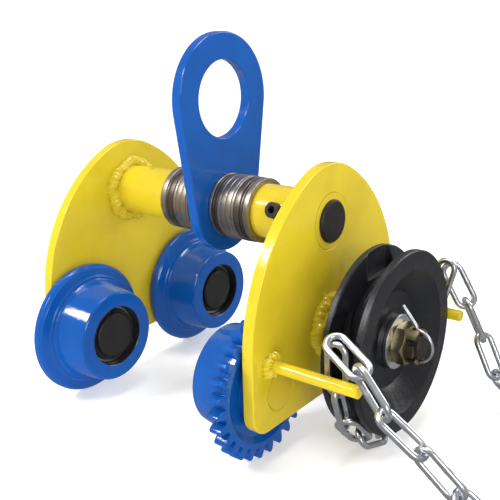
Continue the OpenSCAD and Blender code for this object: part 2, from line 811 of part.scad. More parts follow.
// A link at a centre, with the heading and slope of its length and the roll about it
module placed_link(centre, heading, slope, roll) {
    translate(centre) rotate([0, -slope, heading]) rotate([roll, 0, 0]) chain_link();
}

// Joints of the chain round the lower half of the hand wheel, in Y and Z from its axis; each
// link is rolled a little less than a quarter turn from the last, so that both ends lie flat
wheel_joints = [
    [-76.6, 20.7], [-75.5, -13.5], [-63.3, -45.3], [-39.1, -69.2], [-6.9, -80.2],
    [26.7, -75.4], [54.8, -56.2], [72.2, -26.9], [76.6, 6.9]
];
wheel_links = len(wheel_joints) - 1;
roll_step = 90 - 90 / (wheel_links - 1);

module hand_chain_on_wheel() {
    color(zinc) place() for (i = [0:wheel_links - 1]) {
        run = wheel_joints[i + 1] - wheel_joints[i];
        middle = (wheel_joints[i + 1] + wheel_joints[i]) / 2;
        centre = [chain_x, middle[0], middle[1] + drive_z];
        placed_link(centre, 90, atan2(run[1], run[0]), i * roll_step);
    }
}

// Links from the left guide rod down to the floor: centre from the groove's middle plane and
// above the floor, then heading, slope and roll
front_links = [
    [[13, -83.5, 110], -17, -23, 206], [[38.5, -94, 94.5], -17, -39, 104],
    [[63, -96.5, 73], 8, -37, 188], [[89.5, -93.5, 51], 4, -41, 280],
    [[116.5, -90.5, 29.5], 8, -37, 20], [[146, -85, 14], 14, -18, 128],
    [[178.5, -76, 8], 20, 0, 45]
];

// Links from the right guide rod down to the floor
back_links = [
    [[4, 85, 112.5], 216, 106, -127], [[16.5, 93, 110], 8, -61, -109],
    [[30, 98, 79.5], 29, -66, -11], [[45.5, 98, 50], -19, -58, -173],
    [[68, 93, 25.5], -8, -34, 288], [[98.5, 91, 12], 0, -14, 35]
];

module chain_run(links) {
    color(zinc) place() translate([chain_x, 0, floor_z])
        for (l = links) placed_link(l[0], l[1], l[2], l[3]);
}

module hand_chain_front_run() { chain_run(front_links); }

module hand_chain_back_run() { chain_run(back_links); }

// The rest of the chain, laid on the floor in four turns and two layers
hank_centre = [chain_x + 206, 66];
hank_half_straight = 45;
hank_outer_r = 85;
hank_inner_r = 17;
hank_h = 32;

module hank_outline(r) {
    for (end = [-1, 1]) translate([0, end * hank_half_straight]) circle(r = r);
    translate([-r, -hank_half_straight]) square([2 * r, 2 * hank_half_straight]);
}

module hand_chain_hank() {
    color(zinc) place() translate([hank_centre[0], hank_centre[1], floor_z])
        linear_extrude(hank_h) difference() {
            hank_outline(hank_outer_r);
            hank_outline(hank_inner_r);
        }
}

far_side_plate();
near_side_plate();
far_sleeve();
near_sleeve();
cross_shaft();
far_sleeve_pin();
sleeve_grub_screw();
far_washer_pack();
near_washer_pack();
hanger_plate();
far_left_wheel();
far_right_wheel();
near_left_wheel();
near_right_wheel();
far_left_axle();
far_right_axle();
near_left_axle();
near_right_axle();
far_left_outer_rings();
far_right_outer_rings();
near_left_outer_rings();
near_right_outer_rings();
far_left_seals();
far_right_seals();
near_left_seals();
near_right_seals();
far_inner_rings();
near_inner_rings();
far_bearing_balls();
near_bearing_balls();
far_ring_spacers();
near_ring_spacers();
far_axle_circlips();
near_axle_circlips();
far_weld_beads();
near_weld_beads();
left_chain_guide();
right_chain_guide();
drive_housing();
drive_bush();
drive_shaft();
drive_pinion();
pinion_key();
pinion_thrust_washer();
pinion_circlip();
hand_wheel();
hand_wheel_key();
nut_washer();
castle_nut();
split_pin();
hand_chain_on_wheel();
hand_chain_front_run();
hand_chain_back_run();
hand_chain_hank();
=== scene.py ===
"""Finish, chain, welds and studio of a geared beam trolley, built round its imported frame."""
import logging
import math
from dataclasses import dataclass, field
from enum import Enum
from typing import Sequence

import bmesh
import bpy
import numpy as np
from mathutils import Matrix, Vector


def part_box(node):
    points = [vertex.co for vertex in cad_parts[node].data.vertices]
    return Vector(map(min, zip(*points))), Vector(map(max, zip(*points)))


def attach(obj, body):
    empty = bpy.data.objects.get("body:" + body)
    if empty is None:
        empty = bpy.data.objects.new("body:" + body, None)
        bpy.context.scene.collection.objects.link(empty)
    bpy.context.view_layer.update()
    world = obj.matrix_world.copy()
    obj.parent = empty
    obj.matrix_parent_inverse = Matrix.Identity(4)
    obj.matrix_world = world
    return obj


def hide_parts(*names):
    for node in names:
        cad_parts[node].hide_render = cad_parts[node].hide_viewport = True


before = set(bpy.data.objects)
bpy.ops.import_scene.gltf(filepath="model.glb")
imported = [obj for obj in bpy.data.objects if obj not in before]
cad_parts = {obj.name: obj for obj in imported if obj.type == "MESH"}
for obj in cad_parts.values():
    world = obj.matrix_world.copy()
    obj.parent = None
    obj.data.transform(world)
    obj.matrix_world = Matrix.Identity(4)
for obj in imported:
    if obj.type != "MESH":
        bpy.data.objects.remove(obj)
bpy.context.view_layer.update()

LOG = logging.getLogger("beam_trolley")
MM = 0.001
TAU = 2.0 * math.pi
MERGE_NEW = 1e-7
MERGE_CAD = 2e-6
Colour = tuple[float, float, float]


# ---------------------------------------------------------------- shader graph

class Wire:
    """A node's output socket that Python's operators can be used on."""

    def __init__(self, graph: "Graph", socket: bpy.types.NodeSocket) -> None:
        """Keeps the socket and the graph that it belongs to."""
        self.graph = graph
        self.socket = socket

    def _maths(self, operation: str, first: object, second: object) -> "Wire":
        """Adds one Math node.

        Args:
            operation: the Math node's operation.
            first: a Wire or a number for its first socket.
            second: a Wire or a number for its second socket.

        Returns:
            The node's output.
        """
        return self.graph.node("ShaderNodeMath", {"operation": operation}, {0: first, 1: second})

    def __add__(self, other: object) -> "Wire":
        """self + other."""
        return self._maths("ADD", self, other)

    def __radd__(self, other: object) -> "Wire":
        """other + self."""
        return self._maths("ADD", other, self)

    def __sub__(self, other: object) -> "Wire":
        """self - other."""
        return self._maths("SUBTRACT", self, other)

    def __rsub__(self, other: object) -> "Wire":
        """other - self."""
        return self._maths("SUBTRACT", other, self)

    def __mul__(self, other: object) -> "Wire":
        """self * other."""
        return self._maths("MULTIPLY", self, other)

    def __rmul__(self, other: object) -> "Wire":
        """other * self."""
        return self._maths("MULTIPLY", other, self)

    def between(self, low: float, high: float) -> "Wire":
        """A soft threshold.

        Args:
            low: the value at and below which it is 0.
            high: the value at and above which it is 1.

        Returns:
            0 to 1, smooth in between.
        """
        settings = {"interpolation_type": "SMOOTHSTEP"}
        sockets = {0: self, 1: low, 2: high, 3: 0.0, 4: 1.0}
        return self.graph.node("ShaderNodeMapRange", settings, sockets)


class Graph:
    """One material's node graph, with its Principled shader ready to be fed."""

    def __init__(self, name: str) -> None:
        """Makes the material and its shader.

        Args:
            name: the material's name.
        """
        self.material = bpy.data.materials.new(name)
        self.material.use_nodes = True
        self.tree = self.material.node_tree
        self.tree.nodes.clear()
        self.shader = self.tree.nodes.new("ShaderNodeBsdfPrincipled")
        output = self.tree.nodes.new("ShaderNodeOutputMaterial")
        self.tree.links.new(self.shader.outputs[0], output.inputs[0])
        self.place = self.node("ShaderNodeTexCoord", {}, {}, "Object")

    def node(self, kind: str, settings: dict, sockets: dict, output: object = 0) -> Wire:
        """Adds one node.

        Args:
            kind: the node's type.
            settings: its properties, set first; "stops" is a ramp's list of position and colour.
            sockets: a value or a Wire for each input, by name or number.
            output: which of its outputs to hand back.

        Returns:
            That output as a Wire.
        """
        made = self.tree.nodes.new(kind)
        for key, value in settings.items():
            if key == "stops":
                self._ramp(made.color_ramp, value)
            else:
                setattr(made, key, value)
        for key, value in sockets.items():
            self.feed(made.inputs[key], value)
        return Wire(self, made.outputs[output])

    def _ramp(self, ramp: bpy.types.ColorRamp, stops: Sequence[tuple[float, Colour]]) -> None:
        """Gives a colour ramp its stops.

        Args:
            ramp: the ramp of a new node.
            stops: position and colour of each stop.
        """
        while len(ramp.elements) < len(stops):
            ramp.elements.new(0.5)
        for element, (position, colour) in zip(ramp.elements, stops):
            element.position = position
            element.color = (*colour, 1.0)

    def feed(self, socket: bpy.types.NodeSocket, value: object) -> None:
        """Links a Wire to a socket, or sets a number or colour on it.

        Args:
            socket: the input to feed.
            value: a Wire, a number, a vector or a colour.
        """
        if isinstance(value, Wire):
            self.tree.links.new(value.socket, socket)
        elif isinstance(value, tuple) and len(value) == 3 and socket.type == "RGBA":
            socket.default_value = (*value, 1.0)
        else:
            socket.default_value = value

    def noise(self, scale: float, detail: float = 3.0, rough: float = 0.55,
              stretch: Colour = (1.0, 1.0, 1.0), shift: float = 0.0) -> Wire:
        """Noise over the object's own coordinates.

        Args:
            scale: features per metre.
            detail: octaves.
            rough: how much of each finer octave shows.
            stretch: factor on the scale along X, Y and Z.
            shift: moves the pattern, so that two noises of one scale differ.

        Returns:
            A value from 0 to 1.
        """
        moved = (shift, shift * 0.7, shift * 1.3)
        spot = self.node("ShaderNodeMapping", {}, {
            "Vector": self.place, "Scale": stretch, "Location": moved})
        return self.node("ShaderNodeTexNoise", {}, {
            "Vector": spot, "Scale": scale, "Detail": detail, "Roughness": rough}, "Fac")

    def tone(self) -> Wire:
        """The mesh's tone attribute, 0 on a piece that has none; on a wheel it marks the hub bore's
        painted shade, on a washer pack each washer's tint.
        """
        return self.node("ShaderNodeAttribute", {"attribute_name": "tone"}, {}, "Fac")

    def ramp(self, factor: Wire, stops: Sequence[tuple[float, Colour]]) -> Wire:
        """A colour looked up along a ramp."""
        return self.node("ShaderNodeValToRGB", {"stops": stops}, {0: factor}, "Color")

    def blend(self, factor: object, under: object, over: object) -> Wire:
        """A colour between two others: under at factor 0, over at 1."""
        return self.node("ShaderNodeMix", {"data_type": "RGBA"}, {0: factor, 6: under, 7: over}, 2)

    def bump(self, height: Wire, strength: float, depth: float) -> Wire:
        """A normal from a height.

        Args:
            height: 0 low to 1 high.
            strength: how much of it shows.
            depth: metres from low to high.

        Returns:
            The normal.
        """
        return self.node("ShaderNodeBump", {}, {
            "Strength": strength, "Distance": depth, "Height": height}, "Normal")

    def surface(self, **sockets: object) -> bpy.types.Material:
        """Feeds the shader's sockets, named with _ for a space, and returns the material."""
        for key, value in sockets.items():
            self.feed(self.shader.inputs[key.replace("_", " ")], value)
        return self.material


# ---------------------------------------------------------------- finishes

@dataclass(frozen=True)
class SprayPaint:
    """Thick glossy spray paint over rough steel, with thin spots, scuffs and small chips, and
    painted shade in the wheels' hub bores.
    """
    name: str
    slot: str
    colour: Colour
    thin: Colour
    scuff: Colour
    gloss: float
    lumps: float
    chips: float
    chip: Colour = (0.05, 0.045, 0.035)
    # painted shade: the near black that a wheel's hub bore takes where the tone is 1
    bore_shade_colour: Colour = (0.012, 0.012, 0.013)
    relief: float = 0.0012

    def material(self) -> bpy.types.Material:
        """Builds the paint.

        Returns:
            The material.
        """
        g = Graph(self.name)
        cloud = g.noise(16.0, 3.0)
        wave = g.noise(42.0, 2.0, 0.5, shift=2.0)
        lump = g.noise(120.0, 3.0, 0.6, shift=3.0)
        peel = g.noise(520.0, 2.0, shift=1.0)
        smear = g.noise(26.0, 6.0, 0.7, shift=5.0).between(0.60, 0.72)
        fleck = g.noise(150.0, 5.0, 0.65, shift=8.0).between(self.chips, self.chips + 0.03)
        # tone is 1 in a wheel's hub bore: there the colour goes to near black as painted shade, and
        # the paint is rougher
        bore_shade = g.tone()
        colour = g.blend(cloud.between(0.35, 0.68) * 0.6, self.colour, self.thin)
        colour = g.blend(smear * 0.25, colour, self.scuff)
        colour = g.blend(fleck * 0.85, colour, self.chip)
        colour = g.blend(bore_shade, colour, self.bore_shade_colour)
        rough = self.gloss + lump * 0.06 + smear * 0.12 + fleck * 0.3 + bore_shade * 0.2
        height = peel * 0.07 + lump * self.lumps * 0.55 + wave * self.lumps * 1.6 - fleck * 0.15
        return g.surface(Base_Color=colour, Roughness=rough, IOR=1.55,
                         Normal=g.bump(height, 0.6, self.relief))


@dataclass(frozen=True)
class Metal:
    """Bare or plated metal: mottled colour, uneven gloss and fine scratches."""
    name: str
    slot: str
    bright: Colour
    dull: Colour
    stain: Colour
    gloss: float
    patch: float
    metallic: float = 1.0
    grit: float = 0.3
    relief: float = 0.0003

    def material(self) -> bpy.types.Material:
        """Builds the metal.

        Returns:
            The material.
        """
        g = Graph(self.name)
        cloud = g.noise(self.patch, 4.0, 0.6)
        scratch = g.noise(240.0, 3.0, 0.7, (1.0, 0.12, 1.0), 2.0)
        spot = g.noise(self.patch * 2.3, 5.0, 0.7, shift=6.0).between(0.58, 0.72)
        grain = g.noise(1100.0, 2.0, shift=4.0)
        colour = g.blend(cloud.between(0.3, 0.7), self.bright, self.dull)
        colour = g.blend(spot * 0.6, colour, self.stain)
        rough = self.gloss + cloud * 0.14 + spot * 0.18 + scratch * 0.1
        height = grain * self.grit + scratch * 0.25
        return g.surface(Base_Color=colour, Roughness=rough, Metallic=self.metallic,
                         Normal=g.bump(height, 0.35, self.relief))


@dataclass(frozen=True)
class CastIron:
    """Black paint over a sand casting: fine pitting, satin with polished high spots."""
    name: str = "black_cast_iron"
    slot: str = "black_cast_iron"
    colour: Colour = (0.008, 0.0085, 0.011)
    worn: Colour = (0.030, 0.031, 0.037)

    def material(self) -> bpy.types.Material:
        """Builds the casting.

        Returns:
            The material.
        """
        g = Graph(self.name)
        cloud = g.noise(30.0, 4.0)
        pits = g.noise(330.0, 5.0, 0.7)
        sand = g.noise(900.0, 3.0, 0.6, shift=2.0)
        rub = g.noise(55.0, 5.0, 0.7, shift=9.0).between(0.55, 0.7)
        colour = g.blend(rub * 0.5, self.colour, self.worn)
        rough = 0.2 + cloud * 0.16 + pits * 0.14 - rub * 0.04
        height = pits * 0.7 + sand * 0.4 + cloud * 0.5
        return g.surface(Base_Color=colour, Roughness=rough, Normal=g.bump(height, 0.55, 0.0007))


@dataclass(frozen=True)
class WasherSteel:
    """Zinc plate gone bronze and violet, a different shade on each washer along the shaft."""
    name: str = "washer_steel"
    slot: str = "washer_steel"

    def material(self) -> bpy.types.Material:
        """Builds the plate.

        Returns:
            The material.
        """
        g = Graph(self.name)
        cloud = g.noise(45.0, 4.0, 0.6, shift=4.0)
        stain = g.noise(110.0, 5.0, 0.7, shift=9.0).between(0.52, 0.68)
        tint = g.ramp(g.tone() * 0.7 + cloud * 0.3, (
            (0.10, (0.10, 0.085, 0.075)), (0.32, (0.26, 0.21, 0.17)), (0.50, (0.46, 0.41, 0.36)),
            (0.68, (0.33, 0.27, 0.26)), (0.88, (0.50, 0.43, 0.31))))
        tint = g.blend(stain * 0.45, tint, (0.12, 0.075, 0.06))
        turned = g.noise(900.0, 2.0, 0.6, (1.0, 0.05, 0.05), 7.0)
        rough = 0.24 + cloud * 0.18 + turned * 0.08 + stain * 0.14
        return g.surface(Base_Color=tint, Roughness=rough, Metallic=0.95,
                         Normal=g.bump(turned, 0.4, 0.0002))


@dataclass(frozen=True)
class PaintedTail:
    """Black oxide on an axle, sprayed over with the side plate's paint outside the plates."""
    name: str = "painted_tail"
    slot: str = "black_steel"
    middle: float = -0.04445
    reach: float = 0.114
    edge: float = 0.0005
    oxide: Colour = (0.009, 0.009, 0.010)
    worn_oxide: Colour = (0.018, 0.017, 0.017)
    paint: Colour = (0.62, 0.47, 0.03)
    thin_paint: Colour = (0.56, 0.40, 0.02)

    def material(self) -> bpy.types.Material:
        """Builds the oxide and the paint over the two ends.

        Returns:
            The material.
        """
        g = Graph(self.name)
        along = g.node("ShaderNodeSeparateXYZ", {}, {0: g.place}, "X")
        away = g.node("ShaderNodeMath", {"operation": "ABSOLUTE"}, {0: along - self.middle})
        paint = away.between(self.reach - self.edge, self.reach + self.edge)
        cloud = g.noise(70.0, 4.0)
        oxide = g.blend(cloud, self.oxide, self.worn_oxide)
        colour = g.blend(paint, oxide, g.blend(cloud, self.paint, self.thin_paint))
        height = cloud + g.noise(480.0, 3.0, shift=3.0) * 0.3
        return g.surface(Base_Color=colour, Roughness=0.42 + cloud * 0.12 - paint * 0.26,
                         Normal=g.bump(height, 0.5, 0.0006))


@dataclass(frozen=True)
class Rubber:
    """Matt moulded rubber with a faint bloom."""
    name: str = "seal_rubber"
    slot: str = "seal_rubber"
    colour: Colour = (0.012, 0.012, 0.012)
    dusty: Colour = (0.035, 0.034, 0.033)

    def material(self) -> bpy.types.Material:
        """Builds the rubber.

        Returns:
            The material.
        """
        g = Graph(self.name)
        bloom = g.noise(120.0, 4.0)
        colour = g.blend(bloom, self.colour, self.dusty)
        return g.surface(Base_Color=colour, Roughness=0.55 + bloom * 0.2,
                         Normal=g.bump(g.noise(800.0), 0.3, 0.0002))


class Finish(Enum):
    """The finishes of the trolley."""
    YELLOW = SprayPaint("yellow_paint", "yellow_paint", (0.68, 0.52, 0.024), (0.55, 0.40, 0.016),
                        (0.74, 0.62, 0.14), 0.09, 0.6, 0.735)
    BLUE = SprayPaint("blue_paint", "blue_paint", (0.0035, 0.085, 0.37), (0.003, 0.062, 0.28),
                      (0.01, 0.12, 0.42), 0.09, 0.3, 0.76)
    BLACK = Metal("black_steel", "black_steel", (0.045, 0.038, 0.034), (0.022, 0.021, 0.022),
                  (0.13, 0.05, 0.03), 0.36, 45.0, 0.5, 0.5)
    TAIL = PaintedTail()
    CASTING = CastIron()
    STEEL = Metal("bearing_steel", "bearing_steel", (0.62, 0.62, 0.63), (0.48, 0.48, 0.5),
                  (0.35, 0.33, 0.3), 0.22, 70.0)
    WASHER = WasherSteel()
    ZINC = Metal("bright_zinc", "bright_zinc", (0.86, 0.87, 0.90), (0.66, 0.68, 0.71),
                 (0.45, 0.46, 0.48), 0.2, 130.0, 1.0, 0.25)
    GOLD_ZINC = Metal("yellow_zinc", "yellow_zinc", (0.50, 0.42, 0.25), (0.34, 0.28, 0.17),
                      (0.22, 0.15, 0.14), 0.26, 90.0)
    BRONZE = Metal("bush_bronze", "bush_bronze", (0.66, 0.46, 0.22), (0.52, 0.34, 0.16),
                   (0.3, 0.2, 0.12), 0.3, 60.0)
    RUBBER = Rubber()


class Paintbox:
    """Makes each finish's material once and puts it on pieces."""

    def __init__(self) -> None:
        """Starts with no material made."""
        self.made: dict[Finish, bpy.types.Material] = {}

    def dress(self, piece: bpy.types.Object, finish: Finish) -> None:
        """Puts one finish on a whole piece.

        Args:
            piece: a CAD node or a new piece.
            finish: the finish that it takes.
        """
        if finish not in self.made:
            self.made[finish] = finish.value.material()
        piece.data.materials.clear()
        piece.data.materials.append(self.made[finish])


PAINT = Paintbox()


# ---------------------------------------------------------------- surfaces

def grid_faces(rows: int, columns: int, close_rows: bool, close_columns: bool) -> np.ndarray:
    """Quads of a grid of points stored row by row.

    Args:
        rows: points along the first parameter.
        columns: points along the second.
        close_rows: joins the last row to the first.
        close_columns: joins the last column to the first.

    Returns:
        Vertex numbers, four to a quad.
    """
    i = np.arange(rows if close_rows else rows - 1)[:, None]
    j = np.arange(columns if close_columns else columns - 1)[None, :]
    i2, j2 = (i + 1) % rows, (j + 1) % columns
    corners = [i * columns + j, i * columns + j2, i2 * columns + j2, i2 * columns + j]
    return np.stack([np.broadcast_to(c, (i.size, j.size)).ravel() for c in corners], axis=1)


def many(points: np.ndarray, faces: np.ndarray) -> tuple[np.ndarray, np.ndarray]:
    """Joins copies of one surface.

    Args:
        points: (copies, points, 3) places.
        faces: the quads of one copy.

    Returns:
        All points in one list, and all quads numbered on.
    """
    copies, count, _ = points.shape
    offset = (np.arange(copies) * count)[:, None, None]
    return points.reshape(-1, 3), (faces[None] + offset).reshape(-1, faces.shape[1])


def rounded(corners: Sequence[tuple[float, float, float]], steps: int = 5) -> np.ndarray:
    """A closed outline with its corners rounded.

    Each corner is cut back along both of its sides by radius / tan(half its angle), and a
    quadratic curve through the corner joins the two cuts.

    Args:
        corners: two coordinates and a radius for each corner.
        steps: points on each round.

    Returns:
        The outline's points.
    """
    table = np.array(corners, float)
    here, radius = table[:, :2], table[:, 2]
    before, after = np.roll(here, 1, axis=0) - here, np.roll(here, -1, axis=0) - here
    back, ahead = np.linalg.norm(before, axis=1), np.linalg.norm(after, axis=1)
    cosine = np.clip((before * after).sum(1) / (back * ahead), -0.9999, 0.9999)
    cut = radius / np.tan(np.arccos(cosine) / 2)
    cut = np.minimum(cut, 0.49 * np.minimum(back, ahead))
    start = here + before / back[:, None] * cut[:, None]
    end = here + after / ahead[:, None] * cut[:, None]
    t = np.linspace(0, 1, steps)[None, :, None]
    curve = (1 - t) ** 2 * start[:, None] + 2 * t * (1 - t) * here[:, None] + t ** 2 * end[:, None]
    points = curve.reshape(-1, 2)
    keep = np.linalg.norm(points - np.roll(points, 1, axis=0), axis=1) > 1e-6
    return points[keep]


def turned(outline: np.ndarray, angles: np.ndarray) -> np.ndarray:
    """A closed outline of X and radius turned round the X axis.

    A point is (x, r cos angle, r sin angle).

    Args:
        outline: x and radius of each point, in millimetres.
        angles: the angles that it is placed at.

    Returns:
        (outline points, angles, 3) points in millimetres.
    """
    x, r = outline[:, :1], outline[:, 1:2]
    cos, sin = np.cos(angles)[None, :], np.sin(angles)[None, :]
    return np.stack([np.broadcast_to(x, (len(x), len(angles))), r * cos, r * sin], axis=2)


def tube(path: np.ndarray, radius: float, sides: int = 14) -> tuple[np.ndarray, np.ndarray]:
    """A round bar with domed ends along a path.

    Each ring is centred on the path and lies across it, turned as little as possible from
    the ring before; the first and last rings shrink on a quarter circle.

    Args:
        path: the centre line, in millimetres.
        radius: the bar's radius.
        sides: points on a ring.

    Returns:
        Points and quads.
    """
    along = np.gradient(path, axis=0)
    along /= np.linalg.norm(along, axis=1)[:, None]
    dome = np.linspace(0, math.pi / 2, 5)[:-1]
    lead = path[0] - along[0] * radius * np.cos(dome)[:, None]
    tail = path[-1] + along[-1] * radius * np.sin(dome[::-1] + (math.pi / 2 - dome[-1]))[:, None]
    centre = np.vstack([lead, path, tail])
    size = np.concatenate([np.maximum(np.sin(dome), 0.02), np.ones(len(path)),
                           np.maximum(np.sin(dome)[::-1], 0.02)]) * radius
    direction = np.vstack([np.repeat(along[:1], len(dome), 0), along,
                           np.repeat(along[-1:], len(dome), 0)])
    side = np.zeros_like(centre)
    guess = np.cross(direction[0], (0.0, 1.0, 0.0))
    if np.linalg.norm(guess) < 1e-3:
        guess = np.array((0.0, 0.0, 1.0))
    for k, way in enumerate(direction):
        guess = guess - way * guess.dot(way)
        guess = guess / np.linalg.norm(guess)
        side[k] = guess
    third = np.cross(direction, side)
    turn = np.linspace(0, TAU, sides, endpoint=False)
    ring = side[:, None] * np.cos(turn)[None, :, None] + third[:, None] * np.sin(turn)[None, :, None]
    points = centre[:, None] + ring * size[:, None, None]
    return points.reshape(-1, 3), grid_faces(len(centre), sides, False, True)


def pour(name: str, points: np.ndarray, faces: np.ndarray, sharp: float = 40.0,
         tone: np.ndarray | None = None) -> bpy.types.Object:
    """Puts a surface into a new mesh object at the origin.

    Args:
        name: the piece's name.
        points: its points in the shaft's frame, in millimetres.
        faces: vertex numbers of its quads.
        sharp: degrees past which an edge stays sharp.
        tone: a number from 0 to 1 for each point, which its finish may read.

    Returns:
        The object.
    """
    mesh = bpy.data.meshes.new(name)
    mesh.vertices.add(len(points))
    mesh.vertices.foreach_set("co", ((points - Layout.origin) * MM).astype(np.float32).ravel())
    mesh.loops.add(faces.size)
    mesh.loops.foreach_set("vertex_index", faces.astype(np.int32).ravel())
    mesh.polygons.add(len(faces))
    mesh.polygons.foreach_set("loop_start", np.arange(0, faces.size, 4, dtype=np.int32))
    mesh.update(calc_edges=True)
    if tone is not None:
        layer = mesh.attributes.new("tone", "FLOAT", "POINT")
        layer.data.foreach_set("value", tone.astype(np.float32))
    tidy = bmesh.new()
    tidy.from_mesh(mesh)
    bmesh.ops.remove_doubles(tidy, verts=tidy.verts, dist=MERGE_NEW)
    caps = [e for e in tidy.edges if e.is_boundary]
    if caps:
        bmesh.ops.holes_fill(tidy, edges=caps)
    bmesh.ops.recalc_face_normals(tidy, faces=tidy.faces)
    tidy.to_mesh(mesh)
    tidy.free()
    mesh.shade_smooth()
    mesh.set_sharp_from_angle(angle=math.radians(sharp))
    piece = bpy.data.objects.new(name, mesh)
    bpy.context.scene.collection.objects.link(piece)
    return piece


def softened(node: str, width: float, segments: int = 2, angle: float = 32.0) -> bpy.types.Object:
    """A merged copy of a CAD node with its edges rounded, as forged or cut steel has them.

    Args:
        node: the CAD node.
        width: the round's width in millimetres.
        segments: rounds per edge.
        angle: degrees past which an edge is rounded.

    Returns:
        The copy, not yet riding.
    """
    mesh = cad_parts[node].data.copy()
    mesh.name = node + "_shape"
    tidy = bmesh.new()
    tidy.from_mesh(mesh)
    bmesh.ops.remove_doubles(tidy, verts=tidy.verts, dist=MERGE_CAD)
    bmesh.ops.dissolve_limit(tidy, angle_limit=math.radians(0.6), verts=tidy.verts, edges=tidy.edges)
    tidy.to_mesh(mesh)
    tidy.free()
    mesh.shade_smooth()
    mesh.set_sharp_from_angle(angle=math.radians(angle))
    piece = bpy.data.objects.new(node + "_shape", mesh)
    bpy.context.scene.collection.objects.link(piece)
    bevel = piece.modifiers.new("edge", "BEVEL")
    bevel.width = width * MM
    bevel.segments = segments
    bevel.limit_method = "ANGLE"
    bevel.angle_limit = math.radians(angle)
    bevel.use_clamp_overlap = True
    bevel.harden_normals = True
    return piece


def seat(piece: bpy.types.Object, body: str, finish: Finish, *nodes: str) -> bpy.types.Object:
    """Dresses a new piece, lets it ride on its body and stand for its CAD nodes.

    Args:
        piece: the new piece.
        body: the body that it moves with.
        finish: its finish.
        nodes: the CAD nodes that it stands for.

    Returns:
        The piece.
    """
    PAINT.dress(piece, finish)
    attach(piece, body)
    if nodes:
        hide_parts(*nodes)
    LOG.info("%s rides on %s, %d faces", piece.name, body, len(piece.data.polygons))
    return piece


# ---------------------------------------------------------------- layout

class Layout:
    """Places shared by the sub-assemblies, in the shaft's frame in millimetres.

    X is 0 at the far plate's inner face, Y and Z are 0 on the cross shaft's axis.
    """
    shaft_z: float = 178.0
    far_outer: float = -13.0
    origin: np.ndarray = np.array((far_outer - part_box("cross_shaft")[0][0] / MM, 0.0, -shaft_z))
    inner_width: float = 218.0
    near_outer: float = 228.0
    axle_y: float = 72.0
    axle_z: float = -118.0
    drive_z: float = -88.0
    guide_y: float = 84.5
    guide_z: float = -92.0
    sleeve_r: float = 23.0
    guide_r: float = 4.75


# ---------------------------------------------------------------- sub-assemblies

@dataclass
class Plates:
    """Side plates, sleeves, hanger plate and the shaft, with softened edges."""
    plate_edge: float = 1.0
    hanger_edge: float = 1.4
    sleeve_edge: float = 0.8

    def build(self) -> None:
        """Makes the plates and the pieces that they carry."""
        plan = (
            ("far_side_plate", "far_side", Finish.YELLOW, self.plate_edge),
            ("near_side_plate", "near_side", Finish.YELLOW, self.plate_edge),
            ("far_sleeve", "far_side", Finish.YELLOW, self.sleeve_edge),
            ("near_sleeve", "near_side", Finish.YELLOW, self.sleeve_edge),
            ("drive_housing", "near_side", Finish.YELLOW, self.sleeve_edge),
            ("hanger_plate", "hanger", Finish.BLUE, self.hanger_edge),
            ("cross_shaft", "far_side", Finish.BLACK, 0.4),
            ("sleeve_grub_screw", "near_side", Finish.BLACK, 0.3),
        )
        for node, body, finish, edge in plan:
            seat(softened(node, edge, 3), body, finish, node)


